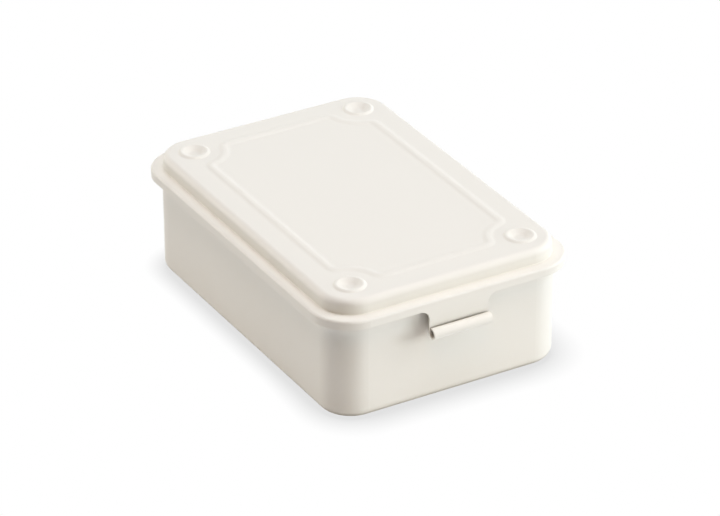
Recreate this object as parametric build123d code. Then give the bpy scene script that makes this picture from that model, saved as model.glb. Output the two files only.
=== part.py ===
"""Small pressed steel toolbox with a hinged lid.

The body is one deep drawn pressing and the lid is another. The lid swings on a straight wire pin that
runs through knuckles curled from the rear rims of both. A tab bent down from the front lip of the lid
ends in a finger curl, and is the latch.

All sizes are millimetres. The origin is the centre of the base. +Z is up, the latch faces -Y and the
hinge is at +Y.
"""

from build123d import *
from math import acos, atan, degrees, hypot, radians, sin
import os

# Overall sizes
rim_length = 154.0
rim_width = 106.6
panel_height = 50.0
sheet = 0.7

# Lid pressing
crown_rise = 5.95
flange_step = 4.45
lip_depth = 3.55
crown_corner_radius = 13.0
rim_corner_radius = 16.0
crown_edge_radius = 2.5
crown_foot_radius = 0.4
flange_edge_radius = 0.95

# Outline bead raised on the top of the lid
bead_inset = 16.75
bead_crest_width = 2.8
bead_foot_width = 1.0
bead_height = 0.45
bead_under_crest = 1.2
bead_under_foot = 0.4
bead_notch_radius = 12.0
bead_corner_radius = 3.2

# Ring bosses in the corners of the lid
boss_inset = 16.75
boss_foot_radius = 6.3
boss_crest_radius = 5.05
boss_floor_radius = 1.9
boss_height = 0.85
boss_floor_drop = 0.85
boss_foot_round = 1.0
boss_crest_round = 1.1
boss_floor_round = 2.4
boss_under_cut = 0.2

# Body pressing
body_inset = 3.95
body_corner_radius = 13.3
base_edge_radius = 4.0
flare_radius = 18.0
rim_flat = 1.2
rim_top_clearance = 0.3
rim_side_clearance = 0.35

# Stacking recesses in the floor of the body, which take the ring bosses of a box below
recess_clearance = 0.5
recess_depth = 1.3
recess_taper = 0.6
recess_edge_cut = 0.3

# Hinge
pin_radius = 0.8
pin_clearance = 0.05
pin_end_setback = 0.2
pin_chamfer = 0.2
knuckle_gap = 0.3
swing_clearance = 0.25
rim_notch_reach = 1.4
centre_knuckle_width = 20.0
lid_knuckle_width = 12.0
outer_knuckle_width = 8.0

# Latch tab
tab_width = 25.0
tab_corner_radius = 4.0
curl_radius = 2.2
curl_drop = 12.8
curl_wrap = 292.0

# Derived places
flange_height = panel_height - crown_rise
crown_width = rim_width - 2 * flange_step
crown_length = rim_length - 2 * flange_step
body_width = rim_width - 2 * body_inset
body_length = rim_length - 2 * body_inset
rim_edge_gap = sheet + rim_side_clearance
lip_bottom = flange_height - lip_depth
body_top = flange_height - sheet - rim_top_clearance
flare_run = body_inset - rim_edge_gap - rim_flat
flare_angle = acos((flare_radius - flare_run) / flare_radius)
flare_top = body_top - sheet
flare_start = flare_top - flare_radius * sin(flare_angle)
bead_half_width = rim_width / 2 - bead_inset
bead_half_length = rim_length / 2 - bead_inset
bead_reach = bead_crest_width / 2 + bead_foot_width
bead_slope = 2 * degrees(atan(bead_height / bead_reach))
boss_pitch_x = rim_width - 2 * boss_inset
boss_pitch_y = rim_length - 2 * boss_inset
boss_outer_radius = boss_foot_radius + boss_foot_round
knuckle_radius = pin_radius + pin_clearance + sheet
hinge_y = rim_length / 2 - knuckle_radius
hinge_z = body_top - knuckle_radius
lid_knuckle_x = centre_knuckle_width / 2 + lid_knuckle_width / 2
outer_knuckle_x = centre_knuckle_width / 2 + lid_knuckle_width + outer_knuckle_width / 2
hinge_half_width = centre_knuckle_width / 2 + lid_knuckle_width + outer_knuckle_width
tab_face = -rim_length / 2
curl_y = tab_face - (curl_radius - sheet)
curl_z = flange_height - curl_drop
margin = 5.0
touch = 1e-3


def rounded_slab(width, length, radius, bottom, top):
    """Upright block with rounded vertical corners."""
    return Pos(0, 0, bottom) * extrude(RectangleRounded(width, length, radius), top - bottom)


def span_box(low, high):
    """Block between two opposite corners."""
    size = [b - a for a, b in zip(low, high)]
    centre = [(a + b) / 2 for a, b in zip(low, high)]
    return Pos(*centre) * Box(*size)


def outline_gap(point, width, length, radius):
    """Distance in plan from a point to the outline of a rounded rectangle."""
    dx = abs(point.X) - (width / 2 - radius)
    dy = abs(point.Y) - (length / 2 - radius)
    return abs(hypot(max(dx, 0), max(dy, 0)) + min(max(dx, dy), 0) - radius)


def outline_edges(solid, width, length, radius, height):
    """Level edges of a solid that lie on a rounded rectangle at one height."""

    def on_outline(edge):
        level = max(abs((edge @ t).Z - height) for t in (0, 0.5, 1)) < touch
        return level and outline_gap(edge @ 0.5, width, length, radius) < touch

    return solid.edges().filter_by(on_outline)


def at_corners():
    """Places of the four ring bosses."""
    return GridLocations(boss_pitch_x, boss_pitch_y, 2, 2)


def hinge_bar(radius, centre_x, width):
    """Round bar on the hinge axis."""
    return Pos(centre_x, hinge_y, hinge_z) * Rot(0, 90, 0) * Cylinder(radius, width)


def lid_form(inward, bottom):
    """Solid within the lid's outer surface, or within the surface that lies inward of it."""
    crown_size = (crown_width - 2 * inward, crown_length - 2 * inward, crown_corner_radius - inward)
    rim_size = (rim_width - 2 * inward, rim_length - 2 * inward, rim_corner_radius - inward)
    crown_top = panel_height - inward
    flange_top = flange_height - inward
    crown = rounded_slab(*crown_size, bottom, crown_top)
    crown = fillet(outline_edges(crown, *crown_size, crown_top), crown_edge_radius - inward)
    brim = rounded_slab(*rim_size, bottom, flange_top)
    if inward:
        hollow = brim + crown
        return chamfer(outline_edges(hollow, *crown_size, flange_top), inward)
    brim = fillet(outline_edges(brim, *rim_size, flange_top), flange_edge_radius)
    form = brim + crown
    return fillet(outline_edges(form, *crown_size, flange_top), crown_foot_radius)


def bead_line():
    """Middle line of the bead: a rectangle that steps in round the ring bosses."""
    panel = Rectangle(2 * bead_half_width, 2 * bead_half_length)
    for place in at_corners():
        panel -= place * Circle(bead_notch_radius)
    panel = fillet(panel.vertices(), bead_corner_radius)
    return Pos(0, 0, panel_height) * panel.face().outer_wire()


def along_bead(section):
    """Sweep along the bead of a section drawn with its middle on the bead's line."""
    path = bead_line()
    across = Plane(origin=path @ 0, x_dir=Vector(0, 0, 1).cross(path % 0), z_dir=path % 0)
    return sweep(across * section, path=path)


def bead_section():
    """Section of the raised sheet: a round crest between two soft feet, and a plainer underside."""
    foot_radius = bead_foot_width / sin(radians(bead_slope))
    crest_radius = bead_crest_width / 2 / sin(radians(bead_slope))
    left_foot = CenterArc((-bead_reach, foot_radius), foot_radius, -90, bead_slope)
    crest_centre = (0, bead_height - crest_radius)
    crest = CenterArc(crest_centre, crest_radius, 90 + bead_slope, -2 * bead_slope)
    right_foot = CenterArc((bead_reach, foot_radius), foot_radius, -90 - bead_slope, bead_slope)
    half_under = [
        (bead_reach, 0),
        (bead_reach, -sheet),
        (bead_reach - bead_under_foot, -sheet),
        (bead_under_crest / 2, bead_height - sheet),
    ]
    under = Polyline(*half_under, *[(-x, z) for x, z in reversed(half_under)])
    return make_face([left_foot, crest, right_foot, under])


def with_bead(lid):
    """Lid with the outline bead raised from its panel."""
    strip = Pos(0, -sheet / 2) * Rectangle(2 * bead_reach, 2 * sheet)
    return lid - along_bead(strip) + along_bead(bead_section())


def ring_boss():
    """One boss as a turned sheet: a raised ring round a dimple, with a plainer underside."""
    points = [
        (boss_outer_radius, 0),
        (boss_foot_radius, 0),
        (boss_crest_radius, boss_height),
        (boss_floor_radius, -boss_floor_drop),
        (0, -boss_floor_drop),
    ]
    rounds = [boss_foot_round, boss_crest_round, boss_floor_round]
    top = FilletPolyline(*points, radius=rounds)
    crest_level = boss_height - boss_under_cut
    outer_cut = boss_under_cut * (boss_foot_radius - boss_crest_radius) / boss_height
    dimple_slope = (boss_height + boss_floor_drop) / (boss_crest_radius - boss_floor_radius)
    under = Polyline(
        top @ 0,
        (boss_outer_radius, -sheet),
        (boss_foot_radius, -sheet),
        (boss_crest_radius + outer_cut, crest_level - sheet),
        (boss_crest_radius - boss_under_cut / dimple_slope, crest_level - sheet),
        (boss_floor_radius, -boss_floor_drop - sheet),
        (0, -boss_floor_drop - sheet),
        top @ 1,
    )
    section = Plane.XZ * make_face([top, under])
    return Pos(0, 0, panel_height) * revolve(section, Axis.Z)


def with_bosses(lid):
    """Lid with its four ring bosses."""
    hole = Pos(0, 0, panel_height - sheet / 2) * Cylinder(boss_outer_radius, 2 * sheet)
    boss = ring_boss()
    for place in at_corners():
        lid = lid - place * hole + place * boss
    return lid


def latch_tab():
    """Tab below the front lip, with concave corners to the lip and a finger curl at its end."""
    lip_strip = Pos(0, lip_bottom + sheet / 2) * Rectangle(tab_width + 3 * tab_corner_radius, sheet)
    drop = lip_bottom - curl_z
    panel = lip_strip + Pos(0, curl_z + (drop + sheet) / 2) * Rectangle(tab_width, drop + sheet)
    inner_corners = panel.vertices().filter_by(
        lambda v: abs(v.Y - lip_bottom) < touch and abs(abs(v.X) - tab_width / 2) < touch
    )
    panel = fillet(inner_corners, tab_corner_radius)
    plate = Pos(0, tab_face + sheet, 0) * extrude(Plane.XZ * panel, sheet)
    mid_radius = curl_radius - sheet / 2
    wrap = CenterArc((curl_y, curl_z), mid_radius, 0, -curl_wrap)
    strip = Line((curl_y + mid_radius - sheet / 2, curl_z), (curl_y + mid_radius + sheet / 2, curl_z))
    curl = sweep(Plane.YZ * strip, path=Plane.YZ * wrap)
    curl = extrude(curl.faces()[0], tab_width / 2, dir=(1, 0, 0), both=True)
    return plate + curl


def lid_knuckles(lid):
    """Curls on the rear lip of the lid, and the notches that let the body's curls through."""
    low = hinge_z - knuckle_radius - swing_clearance
    front = hinge_y - knuckle_radius - swing_clearance
    back = rim_length / 2 + margin
    for x, width in body_knuckles():
        half = (width + knuckle_gap) / 2
        lid -= span_box((x - half, front, low), (x + half, back, flange_height - sheet))
    for x in (-lid_knuckle_x, lid_knuckle_x):
        half = (lid_knuckle_width - knuckle_gap) / 2
        lid -= span_box((x - half, front, low), (x + half, back, hinge_z))
        lid += hinge_bar(knuckle_radius, x, 2 * half)
        lid -= hinge_bar(pin_radius + pin_clearance, x, 2 * half)
    return lid


def body_knuckles():
    """Centre and width of each curl on the body's rear rim."""
    return [
        (-outer_knuckle_x, outer_knuckle_width),
        (0, centre_knuckle_width),
        (outer_knuckle_x, outer_knuckle_width),
    ]


def flare_ring(inward):
    """Ring that widens the wall to the rim in one long curve."""
    wall = body_width / 2 - inward
    long_radius = flare_radius + inward
    long_curve = CenterArc((wall + long_radius, flare_start), long_radius, 180, -degrees(flare_angle))
    top = flare_top + inward
    back = wall - sheet
    cap = Polyline(
        long_curve @ 1,
        (back, top),
        (back, flare_start),
        long_curve @ 0,
    )
    section = Plane.XZ * make_face([long_curve, cap])
    outline = RectangleRounded(
        body_width - 2 * inward, body_length - 2 * inward, body_corner_radius - inward
    )
    path = Pos(0, 0, flare_start) * outline.face().outer_wire()
    return sweep(section, path=path)


def body_form(inward):
    """Solid within the body's outer surface, or within the surface that lies inward of it."""
    size = (body_width - 2 * inward, body_length - 2 * inward, body_corner_radius - inward)
    top = flare_top + inward
    form = rounded_slab(*size, inward, top)
    form = fillet(outline_edges(form, *size, inward), base_edge_radius - inward)
    form += flare_ring(inward)
    foot = boss_foot_radius + recess_clearance + inward
    recess = Pos(0, 0, recess_depth / 2 + inward) * Cone(foot, foot - recess_taper, recess_depth)
    recess = chamfer(recess.edges().sort_by(Axis.Z)[-1], recess_edge_cut)
    for place in at_corners():
        form -= place * recess
    return form


def make_body():
    """Deep drawn body: floor, walls, flared rim, stacking recesses and rear knuckles."""
    rim_size = (rim_width - 2 * rim_edge_gap, rim_length - 2 * rim_edge_gap)
    rim_radius = body_corner_radius + body_inset - rim_edge_gap
    body = body_form(0) + rounded_slab(*rim_size, rim_radius, flare_top, body_top)
    body -= body_form(sheet)
    low = hinge_z - knuckle_radius - swing_clearance
    front = body_length / 2 - rim_notch_reach
    for x in (-lid_knuckle_x, lid_knuckle_x):
        half = (lid_knuckle_width + knuckle_gap) / 2
        body -= span_box((x - half, front, low), (x + half, rim_length / 2, body_top + margin))
    for x, width in body_knuckles():
        body += hinge_bar(knuckle_radius, x, width - knuckle_gap)
        body -= hinge_bar(pin_radius + pin_clearance, x, width + knuckle_gap)
    return body


def make_lid():
    """Pressed lid: crown, flange, lip, bead, ring bosses, latch tab and rear knuckles."""
    lid = lid_form(0, lip_bottom) - lid_form(sheet, lip_bottom - margin)
    lid = with_bead(lid)
    lid = with_bosses(lid)
    lid += latch_tab()
    return lid_knuckles(lid)


def make_pin():
    """Wire that carries the lid."""
    pin = hinge_bar(pin_radius, 0, 2 * (hinge_half_width - pin_end_setback))
    return chamfer(pin.edges().filter_by(GeomType.CIRCLE), pin_chamfer)


pieces = {
    "body": make_body,
    "lid": make_lid,
    "hinge_pin": make_pin,
}

os.makedirs("parts", exist_ok=True)
for name, make in pieces.items():
    export_step(make(), f"parts/{name}.step")
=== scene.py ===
"""Looks of the small pressed steel toolbox: powder coat, hinge wire, studio stage and camera."""

import math

import bpy
from mathutils import Matrix, Vector

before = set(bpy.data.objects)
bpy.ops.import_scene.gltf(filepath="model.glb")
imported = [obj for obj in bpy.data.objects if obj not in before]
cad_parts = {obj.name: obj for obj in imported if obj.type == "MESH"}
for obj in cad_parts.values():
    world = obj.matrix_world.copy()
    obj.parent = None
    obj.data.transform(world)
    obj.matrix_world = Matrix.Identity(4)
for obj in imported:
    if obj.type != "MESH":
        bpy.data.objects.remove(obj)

bl_info = {
    "name": "Pressed Steel Toolbox",
    "version": (1, 0, 0),
    "blender": (4, 5, 0),
    "location": "View3D > Sidebar > Toolbox",
    "description": "Powder coat, hinge wire and studio stage for a small pressed steel toolbox",
    "category": "Object",
}

# Camera
PHOTO_WIDTH = 720  # pixels
SENSOR_WIDTH = 36.0  # millimetres
NEAREST_SEEN, FURTHEST_SEEN = 0.05, 20.0  # metres

# Powder coat, with painted shade laid in its gaps. A clear share is the part of the rays that meet
# nothing within the reach.
DRIFT_SCALE = 28.0  # patches of tone and gloss per metre
GLOSS_DRIFT = 0.12  # roughness from the dullest patch to the glossiest
# Clear shares at which the painted shade in gaps is darkest and where it ends
DARKEST_SHADE_CLEAR, SHADE_END_CLEAR = 0.1, 0.56
FACE_CLEAR, SHARP_EDGE_CLEAR = 0.95, 0.45

# Drawn wire
WIRE_LINES = (60.0, 5200.0, 5200.0)  # lines per metre, along the wire and across it
WIRE_DARK = (0.42, 0.42, 0.41, 1.0)
WIRE_GLOSS_SPREAD = 0.1

# Lamps: sizes and places in metres, turn in degrees from +X towards +Y, rise in degrees
TOP_SIZE, TOP_PLACE, TOP_COLOUR = 1.2, (0.0, 0.0, 1.6), (0.89, 0.925, 1.0)
SIDE_SIZE, SIDE_REACH = 0.8, 2.0
SIDE_LAMPS = {
    "key": (327, 10, (0.88, 0.937, 1.0)),
    "right": (330, 35, (0.915, 0.957, 1.0)),
    "front": (300, 10, (0.96, 0.98, 0.88)),
    "left": (126, 10, (1.0, 0.967, 0.9)),
    "back": (70, 35, (0.7, 0.9, 1.0)),
    "warm": (240, 62, (1.0, 0.55, 0.2)),
}
AIM_HEIGHT = 0.02  # every lamp around the object faces this point on its middle line

# Floor
FLOOR_HALF = 1.5
FLOOR_COLOUR = (0.9, 0.9, 0.9, 1.0)
FOOT_CLEAR = 0.5  # clear share at the foot of a wall
TOWARDS_FRONT = (0.6, -0.8, 0.0)  # from the left side's shadow to the latch side's
SIDE_SHADOW_END, FRONT_SHADOW_START = -0.01, 0.045  # metres in that direction


# Properties


class ToolboxCoat(bpy.types.PropertyGroup):
    """Powder coat on the body and the lid."""

    colour: bpy.props.FloatVectorProperty(
        name="Coat Colour",
        description="Colour of the powder coat",
        subtype="COLOR",
        size=4,
        min=0.0,
        max=1.0,
        default=(0.86, 0.835, 0.765, 1.0),
    )
    tone_spread: bpy.props.FloatProperty(
        name="Tone Spread",
        description="How far the coat's tone drifts over a few centimetres",
        subtype="FACTOR",
        min=0.0,
        max=0.2,
        default=0.02,
    )
    roughness: bpy.props.FloatProperty(
        name="Roughness",
        description="Mean roughness of the satin surface",
        subtype="FACTOR",
        min=0.0,
        max=1.0,
        default=0.54,
    )
    # Painted shade: how far the darkening laid into gaps and creases reaches, where shade falls
    painted_shade_reach: bpy.props.FloatProperty(
        name="Recess Reach",
        description="Width of the gaps that the spray hardly gets into",
        subtype="DISTANCE",
        unit="LENGTH",
        min=0.0005,
        max=0.05,
        default=0.008,
    )
    # Painted shade: the dark warm colour laid deep in gaps, such as the shadow behind the latch tab
    painted_shade_colour: bpy.props.FloatVectorProperty(
        name="Painted Shade Colour",
        description="Colour of the thin coat deep in a gap",
        subtype="COLOR",
        size=4,
        min=0.0,
        max=1.0,
        default=(0.24, 0.18, 0.1, 1.0),
    )
    edge_reach: bpy.props.FloatProperty(
        name="Edge Reach",
        description="Width of the band along sharp edges where the coat draws thin",
        subtype="DISTANCE",
        unit="LENGTH",
        min=0.0001,
        max=0.002,
        precision=4,
        default=0.0005,
    )
    edge_polish: bpy.props.FloatProperty(
        name="Edge Polish",
        description="How much smoother the thin coat is along the edges",
        subtype="FACTOR",
        min=0.0,
        max=0.5,
        default=0.15,
    )
    peel_size: bpy.props.FloatProperty(
        name="Orange Peel Size",
        description="Distance between the soft bumps of the sprayed coat",
        subtype="DISTANCE",
        unit="LENGTH",
        min=0.0002,
        max=0.01,
        default=0.0016,
    )
    peel_height: bpy.props.FloatProperty(
        name="Orange Peel Height",
        description="Height of the soft bumps of the sprayed coat",
        subtype="DISTANCE",
        unit="LENGTH",
        min=0.0,
        max=0.0002,
        precision=6,
        default=0.000006,
    )


class ToolboxWire(bpy.types.PropertyGroup):
    """Drawn steel wire of the hinge."""

    colour: bpy.props.FloatVectorProperty(
        name="Wire Colour",
        description="Colour of the bare drawn steel",
        subtype="COLOR",
        size=4,
        min=0.0,
        max=1.0,
        default=(0.62, 0.62, 0.60, 1.0),
    )
    roughness: bpy.props.FloatProperty(
        name="Roughness",
        description="Mean roughness of the drawn surface",
        subtype="FACTOR",
        min=0.0,
        max=1.0,
        default=0.34,
    )


class ToolboxStage(bpy.types.PropertyGroup):
    """Camera, lamps and floor."""

    azimuth: bpy.props.FloatProperty(
        name="Azimuth",
        description="Direction that the camera looks in, turned from +Y towards +X",
        subtype="ANGLE",
        unit="ROTATION",
        default=math.radians(29.93),
    )
    elevation: bpy.props.FloatProperty(
        name="Elevation",
        description="How far the camera looks down",
        subtype="ANGLE",
        unit="ROTATION",
        default=math.radians(29.16),
    )
    roll: bpy.props.FloatProperty(
        name="Roll",
        description="Turn of the camera about its own line of sight",
        subtype="ANGLE",
        unit="ROTATION",
        default=math.radians(-0.19),
    )
    distance: bpy.props.FloatProperty(
        name="Distance",
        description="From the camera to its target",
        subtype="DISTANCE",
        unit="LENGTH",
        default=1.5045,
    )
    target: bpy.props.FloatVectorProperty(
        name="Target",
        description="Point at the middle of the picture",
        subtype="TRANSLATION",
        unit="LENGTH",
        size=3,
        default=(-0.00115, -0.0064, 0.0252),
    )
    focal_pixels: bpy.props.FloatProperty(
        name="Focal Length in Pixels",
        description="Focal length at a picture width of 720 pixels",
        default=3948.0,
    )
    top_power: bpy.props.FloatProperty(
        name="Top Lamp",
        description="Power of the soft box over the object",
        subtype="POWER",
        unit="POWER",
        default=18.3,
    )
    key_power: bpy.props.FloatProperty(
        name="Key Lamp",
        description="Power of the low soft box at the right, which makes most of the light and shade",
        subtype="POWER",
        unit="POWER",
        default=18.8,
    )
    right_power: bpy.props.FloatProperty(
        name="Right Lamp",
        description="Power of the raised soft box over the key",
        subtype="POWER",
        unit="POWER",
        default=9.4,
    )
    front_power: bpy.props.FloatProperty(
        name="Front Lamp",
        description="Power of the low soft box in front of the latch",
        subtype="POWER",
        unit="POWER",
        default=6.8,
    )
    left_power: bpy.props.FloatProperty(
        name="Left Lamp",
        description="Power of the low soft box behind the left side",
        subtype="POWER",
        unit="POWER",
        default=16.8,
    )
    back_power: bpy.props.FloatProperty(
        name="Back Lamp",
        description="Power of the raised soft box behind the hinge",
        subtype="POWER",
        unit="POWER",
        default=2.6,
    )
    warm_power: bpy.props.FloatProperty(
        name="Warm Fill",
        description="Power of the warm fill high over the near corner",
        subtype="POWER",
        unit="POWER",
        default=5.0,
    )
    side_shadow_reach: bpy.props.FloatProperty(
        name="Side Shadow Reach",
        description="How far the soft shadow spreads over the floor at the left side",
        subtype="DISTANCE",
        unit="LENGTH",
        default=0.009,
    )
    front_shadow_reach: bpy.props.FloatProperty(
        name="Front Shadow Reach",
        description="How far the soft shadow spreads over the floor in front of the latch",
        subtype="DISTANCE",
        unit="LENGTH",
        default=0.0138,
    )
    shadow_depth: bpy.props.FloatProperty(
        name="Shadow Depth",
        description="How dark the soft shadow is beside the base",
        subtype="FACTOR",
        min=0.0,
        max=1.0,
        default=0.24,
    )


# Shader building


def new_material(name):
    """Empty node material with its output and Principled shader."""
    material = bpy.data.materials.new(name)
    material.use_nodes = True
    tree = material.node_tree
    tree.nodes.clear()
    output = tree.nodes.new("ShaderNodeOutputMaterial")
    shader = tree.nodes.new("ShaderNodeBsdfPrincipled")
    tree.links.new(shader.outputs["BSDF"], output.inputs["Surface"])
    return material, tree, shader


def node(tree, kind, **settings):
    """New node with its settings. A key that names an input sets that input's value."""
    made = tree.nodes.new(kind)
    for key, value in settings.items():
        if hasattr(made, key):
            setattr(made, key, value)
        else:
            made.inputs[key.replace("_", " ").title()].default_value = value
    return made


def group_socket(group, name, kind, direction, default=None):
    """Socket on a node group's interface."""
    made = group.interface.new_socket(name=name, in_out=direction, socket_type=kind)
    if default is not None:
        made.default_value = default
    return made


def arithmetic(tree, operation, *terms):
    """Output of a math node, whose terms are numbers or outputs of other nodes."""
    made = node(tree, "ShaderNodeMath", operation=operation)
    for socket, term in zip(made.inputs, terms):
        if isinstance(term, bpy.types.NodeSocket):
            tree.links.new(term, socket)
        else:
            socket.default_value = term
    return made.outputs[0]


def ranged(tree, value, start, end, low=0.0, high=1.0):
    """Output that runs from low at the start value to high at the end value."""
    made = node(tree, "ShaderNodeMapRange")
    for name, number in (("From Min", start), ("From Max", end), ("To Min", low), ("To Max", high)):
        made.inputs[name].default_value = number
    tree.links.new(value, made.inputs["Value"])
    return made.outputs["Result"]


def sprayed_coat_group():
    """Node group: tone, roughness and bump height of a sprayed and baked coat."""
    group = bpy.data.node_groups.new("Sprayed Coat", "ShaderNodeTree")
    group_socket(group, "Colour", "NodeSocketColor", "INPUT", (0.8, 0.8, 0.8, 1.0))
    group_socket(group, "Tone Spread", "NodeSocketFloat", "INPUT", 0.02)
    group_socket(group, "Roughness", "NodeSocketFloat", "INPUT", 0.4)
    group_socket(group, "Peel Scale", "NodeSocketFloat", "INPUT", 600.0)
    group_socket(group, "Colour", "NodeSocketColor", "OUTPUT")
    group_socket(group, "Roughness", "NodeSocketFloat", "OUTPUT")
    group_socket(group, "Height", "NodeSocketFloat", "OUTPUT")
    given = node(group, "NodeGroupInput").outputs
    result = node(group, "NodeGroupOutput").inputs
    place = node(group, "ShaderNodeTexCoord").outputs["Object"]

    patches = node(group, "ShaderNodeTexNoise", scale=DRIFT_SCALE, detail=2.0, roughness=0.45)
    group.links.new(place, patches.inputs["Vector"])
    drift = arithmetic(group, "SUBTRACT", patches.outputs["Fac"], 0.5)
    tone = arithmetic(group, "MULTIPLY_ADD", drift, given["Tone Spread"], 1.0)
    tint = node(group, "ShaderNodeVectorMath", operation="SCALE")
    group.links.new(given["Colour"], tint.inputs[0])
    group.links.new(tone, tint.inputs["Scale"])
    group.links.new(tint.outputs[0], result["Colour"])
    gloss = arithmetic(group, "MULTIPLY_ADD", drift, GLOSS_DRIFT, given["Roughness"])
    group.links.new(gloss, result["Roughness"])

    peel = node(group, "ShaderNodeTexNoise", detail=2.0, roughness=0.4)
    group.links.new(place, peel.inputs["Vector"])
    group.links.new(given["Peel Scale"], peel.inputs["Scale"])
    group.links.new(peel.outputs["Fac"], result["Height"])
    return group


def shade_and_edge_mask_group():
    """Node group: Unshaded is 1 in the open and near 0 deep in a gap, where painted shade is laid;
    Edge is 1 on a sharp edge.
    """
    group = bpy.data.node_groups.new("Form Masks", "ShaderNodeTree")
    group_socket(group, "Recess Reach", "NodeSocketFloat", "INPUT", 0.008)
    group_socket(group, "Edge Reach", "NodeSocketFloat", "INPUT", 0.0005)
    group_socket(group, "Open", "NodeSocketFloat", "OUTPUT")
    group_socket(group, "Edge", "NodeSocketFloat", "OUTPUT")
    given = node(group, "NodeGroupInput").outputs
    result = node(group, "NodeGroupOutput").inputs
    around = node(group, "ShaderNodeAmbientOcclusion", samples=8)
    group.links.new(given["Recess Reach"], around.inputs["Distance"])
    unshaded_share = ranged(group, around.outputs["AO"], DARKEST_SHADE_CLEAR, SHADE_END_CLEAR)
    group.links.new(unshaded_share, result["Open"])
    within = node(group, "ShaderNodeAmbientOcclusion", samples=8, inside=True)
    group.links.new(given["Edge Reach"], within.inputs["Distance"])
    edge = ranged(group, within.outputs["AO"], FACE_CLEAR, SHARP_EDGE_CLEAR)
    group.links.new(edge, result["Edge"])
    return group


def coat_material(settings):
    """Satin powder coat with painted shade deep in the gaps, and smoother along the edges."""
    material, tree, shader = new_material("powder_coat")
    form = node(tree, "ShaderNodeGroup", node_tree=shade_and_edge_mask_group())
    form.inputs["Recess Reach"].default_value = settings.painted_shade_reach
    form.inputs["Edge Reach"].default_value = settings.edge_reach
    # Painted shade: the coat colour is mixed towards the dark warm shade colour deep in gaps
    shade_mix = node(tree, "ShaderNodeMix", data_type="RGBA")
    shade_mix.inputs["A"].default_value = settings.painted_shade_colour
    shade_mix.inputs["B"].default_value = settings.colour
    tree.links.new(form.outputs["Open"], shade_mix.inputs["Factor"])
    coat = node(tree, "ShaderNodeGroup", node_tree=sprayed_coat_group())
    coat.inputs["Tone Spread"].default_value = settings.tone_spread
    coat.inputs["Roughness"].default_value = settings.roughness
    coat.inputs["Peel Scale"].default_value = 1.0 / settings.peel_size
    tree.links.new(shade_mix.outputs["Result"], coat.inputs["Colour"])
    tree.links.new(coat.outputs["Colour"], shader.inputs["Base Color"])
    gloss = arithmetic(
        tree, "MULTIPLY_ADD", form.outputs["Edge"], -settings.edge_polish, coat.outputs["Roughness"]
    )
    tree.links.new(gloss, shader.inputs["Roughness"])
    bump = node(tree, "ShaderNodeBump", strength=1.0, distance=settings.peel_height)
    tree.links.new(coat.outputs["Height"], bump.inputs["Height"])
    tree.links.new(bump.outputs["Normal"], shader.inputs["Normal"])
    return material


def wire_material(settings):
    """Drawn steel wire: fine lines along the wire."""
    material, tree, shader = new_material("drawn_wire")
    shader.inputs["Metallic"].default_value = 1.0
    place = node(tree, "ShaderNodeTexCoord").outputs["Object"]
    along = node(tree, "ShaderNodeMapping")
    along.inputs["Scale"].default_value = WIRE_LINES
    tree.links.new(place, along.inputs["Vector"])
    lines = node(tree, "ShaderNodeTexNoise", scale=1.0, detail=3.0)
    tree.links.new(along.outputs["Vector"], lines.inputs["Vector"])
    gloss = ranged(
        tree, lines.outputs["Fac"], 0.0, 1.0,
        settings.roughness - WIRE_GLOSS_SPREAD, settings.roughness + WIRE_GLOSS_SPREAD,
    )
    tree.links.new(gloss, shader.inputs["Roughness"])
    tone = node(tree, "ShaderNodeMix", data_type="RGBA")
    tone.inputs["A"].default_value = settings.colour
    tone.inputs["B"].default_value = WIRE_DARK
    tree.links.new(lines.outputs["Fac"], tone.inputs["Factor"])
    tree.links.new(tone.outputs["Result"], shader.inputs["Base Color"])
    return material


def carry_node(name, material):
    """Gives a CAD node its finish."""
    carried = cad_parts[name]
    carried.data.materials.clear()
    carried.data.materials.append(material)


# Stage


def camera_axes(settings):
    """The camera's right, up and forward directions."""
    turn, fall = settings.azimuth, settings.elevation
    forward = Vector((
        math.sin(turn) * math.cos(fall),
        math.cos(turn) * math.cos(fall),
        -math.sin(fall),
    ))
    right = Vector((math.cos(turn), -math.sin(turn), 0.0))
    up = right.cross(forward)
    rolled_right = math.cos(settings.roll) * right + math.sin(settings.roll) * up
    rolled_up = math.cos(settings.roll) * up - math.sin(settings.roll) * right
    return rolled_right, rolled_up, forward


def add_camera(settings):
    """Camera at the photograph's place."""
    right, up, forward = camera_axes(settings)
    data = bpy.data.cameras.new("camera")
    data.sensor_fit = "HORIZONTAL"
    data.sensor_width = SENSOR_WIDTH
    data.lens = settings.focal_pixels * SENSOR_WIDTH / PHOTO_WIDTH
    data.clip_start = NEAREST_SEEN
    data.clip_end = FURTHEST_SEEN
    camera = bpy.data.objects.new("camera", data)
    place = Vector(settings.target) - settings.distance * forward
    turned = Matrix((right, up, -forward)).transposed()
    camera.matrix_world = Matrix.Translation(place) @ turned.to_4x4()
    bpy.context.scene.collection.objects.link(camera)
    bpy.context.scene.camera = camera


def place_around(turn, rise):
    """Point around the object at the side lamps' reach, for angles in degrees."""
    turn, rise = math.radians(turn), math.radians(rise)
    level = SIDE_REACH * math.cos(rise)
    return level * math.cos(turn), level * math.sin(turn), SIDE_REACH * math.sin(rise)


def add_soft_box(name, power, size, place, colour):
    """Square area lamp that faces the object."""
    data = bpy.data.lights.new(name, "AREA")
    data.shape = "SQUARE"
    data.size = size
    data.energy = power
    data.color = colour
    lamp = bpy.data.objects.new(name, data)
    lamp.location = place
    aim = Vector((0.0, 0.0, AIM_HEIGHT)) - Vector(place)
    lamp.rotation_euler = aim.to_track_quat("-Z", "Y").to_euler()
    bpy.context.scene.collection.objects.link(lamp)


def add_lamps(settings):
    """Soft box over the object and those around it."""
    add_soft_box("top_box", settings.top_power, TOP_SIZE, TOP_PLACE, TOP_COLOUR)
    for name, (turn, rise, colour) in SIDE_LAMPS.items():
        power = getattr(settings, name + "_power")
        add_soft_box(name + "_box", power, SIDE_SIZE, place_around(turn, rise), colour)


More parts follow.
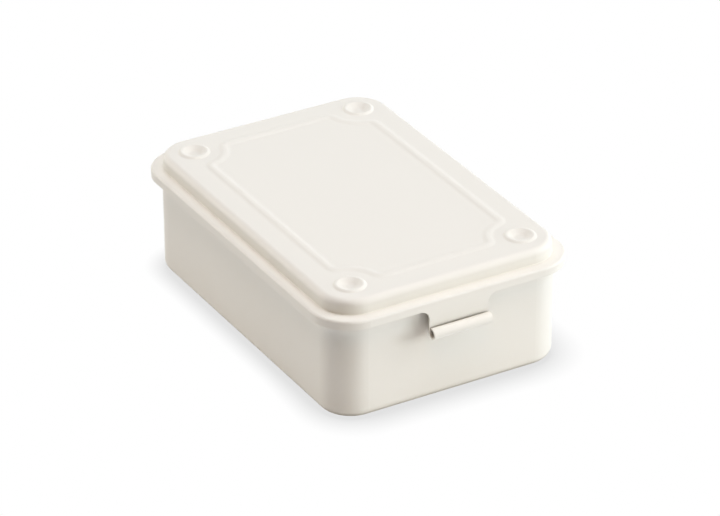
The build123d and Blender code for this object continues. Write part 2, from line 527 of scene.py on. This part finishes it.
def seen_directly(tree):
    """Output that is 1 for rays that come from the eye, straight or by a mirror or glass."""
    path = node(tree, "ShaderNodeLightPath").outputs
    straight_or_mirrored = arithmetic(tree, "MAXIMUM", path["Is Camera Ray"], path["Is Glossy Ray"])
    return arithmetic(tree, "MAXIMUM", straight_or_mirrored, path["Is Transmission Ray"])


def set_world():
    """White surroundings that are seen but give no light."""
    world = bpy.data.worlds.new("studio")
    world.use_nodes = True
    tree = world.node_tree
    tree.nodes.clear()
    output = node(tree, "ShaderNodeOutputWorld")
    white = node(tree, "ShaderNodeBackground")
    white.inputs["Color"].default_value = (1.0, 1.0, 1.0, 1.0)
    tree.links.new(seen_directly(tree), white.inputs["Strength"])
    tree.links.new(white.outputs[0], output.inputs["Surface"])
    bpy.context.scene.world = world


def floor_material(settings):
    """Pale floor that looks white and keeps the object's shadow near its base."""
    material = bpy.data.materials.new("studio_floor")
    material.use_nodes = True
    tree = material.node_tree
    tree.nodes.clear()
    output = node(tree, "ShaderNodeOutputMaterial")
    lit = node(tree, "ShaderNodeBsdfDiffuse")
    lit.inputs["Color"].default_value = FLOOR_COLOUR
    place = node(tree, "ShaderNodeTexCoord").outputs["Object"]
    frontness = node(tree, "ShaderNodeVectorMath", operation="DOT_PRODUCT")
    frontness.inputs[1].default_value = TOWARDS_FRONT
    tree.links.new(place, frontness.inputs[0])
    reach = ranged(
        tree, frontness.outputs["Value"], SIDE_SHADOW_END, FRONT_SHADOW_START,
        settings.side_shadow_reach, settings.front_shadow_reach,
    )
    around = node(tree, "ShaderNodeAmbientOcclusion", samples=16)
    tree.links.new(reach, around.inputs["Distance"])
    tone = ranged(tree, around.outputs["AO"], FOOT_CLEAR, 1.0, 1.0 - settings.shadow_depth)
    seen = node(tree, "ShaderNodeEmission")
    tree.links.new(tone, seen.inputs["Color"])
    choice = node(tree, "ShaderNodeMixShader")
    tree.links.new(seen_directly(tree), choice.inputs[0])
    tree.links.new(lit.outputs[0], choice.inputs[1])
    tree.links.new(seen.outputs[0], choice.inputs[2])
    tree.links.new(choice.outputs[0], output.inputs["Surface"])
    return material


def add_floor(settings):
    """Level floor under the object."""
    mesh = bpy.data.meshes.new("studio_floor")
    signs = ((-1, -1), (1, -1), (1, 1), (-1, 1))
    corners = [(x * FLOOR_HALF, y * FLOOR_HALF, 0.0) for x, y in signs]
    mesh.from_pydata(corners, [], [(0, 1, 2, 3)])
    mesh.materials.append(floor_material(settings))
    floor = bpy.data.objects.new("studio_floor", mesh)
    bpy.context.scene.collection.objects.link(floor)


# Operators


class TOOLBOX_OT_shell(bpy.types.Operator):
    """Finish the body and the lid with the powder coat"""

    bl_idname = "toolbox.shell"
    bl_label = "Body and Lid"

    def execute(self, context):
        material = coat_material(context.scene.toolbox_coat)
        carry_node("body", material)
        carry_node("lid", material)
        return {"FINISHED"}


class TOOLBOX_OT_hinge_pin(bpy.types.Operator):
    """Finish the hinge pin as drawn wire"""

    bl_idname = "toolbox.hinge_pin"
    bl_label = "Hinge Pin"

    def execute(self, context):
        carry_node("hinge_pin", wire_material(context.scene.toolbox_wire))
        return {"FINISHED"}


class TOOLBOX_OT_stage(bpy.types.Operator):
    """Set up the floor, the lamps and the camera"""

    bl_idname = "toolbox.stage"
    bl_label = "Stage"

    def execute(self, context):
        settings = context.scene.toolbox_stage
        add_camera(settings)
        set_world()
        add_floor(settings)
        add_lamps(settings)
        context.scene.view_settings.view_transform = "Standard"
        return {"FINISHED"}


# Panel and registration


class TOOLBOX_PT_panel(bpy.types.Panel):
    """Sizes, colours and steps of the toolbox"""

    bl_idname = "TOOLBOX_PT_panel"
    bl_label = "Pressed Steel Toolbox"
    bl_space_type = "VIEW_3D"
    bl_region_type = "UI"
    bl_category = "Toolbox"

    def draw(self, context):
        scene = context.scene
        for settings in (scene.toolbox_coat, scene.toolbox_wire, scene.toolbox_stage):
            box = self.layout.box()
            for name in settings.__annotations__:
                box.prop(settings, name)
        for step in STEPS:
            self.layout.operator(step.bl_idname)


STEPS = (TOOLBOX_OT_shell, TOOLBOX_OT_hinge_pin, TOOLBOX_OT_stage)
CLASSES = (ToolboxCoat, ToolboxWire, ToolboxStage, *STEPS, TOOLBOX_PT_panel)


def register():
    for each in CLASSES:
        bpy.utils.register_class(each)
    bpy.types.Scene.toolbox_coat = bpy.props.PointerProperty(type=ToolboxCoat)
    bpy.types.Scene.toolbox_wire = bpy.props.PointerProperty(type=ToolboxWire)
    bpy.types.Scene.toolbox_stage = bpy.props.PointerProperty(type=ToolboxStage)


def unregister():
    del bpy.types.Scene.toolbox_stage
    del bpy.types.Scene.toolbox_wire
    del bpy.types.Scene.toolbox_coat
    for each in reversed(CLASSES):
        bpy.utils.unregister_class(each)


def main():
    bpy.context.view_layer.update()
    register()
    bpy.ops.toolbox.shell()
    bpy.ops.toolbox.hinge_pin()
    bpy.ops.toolbox.stage()


if __name__ == "__main__":
    main()
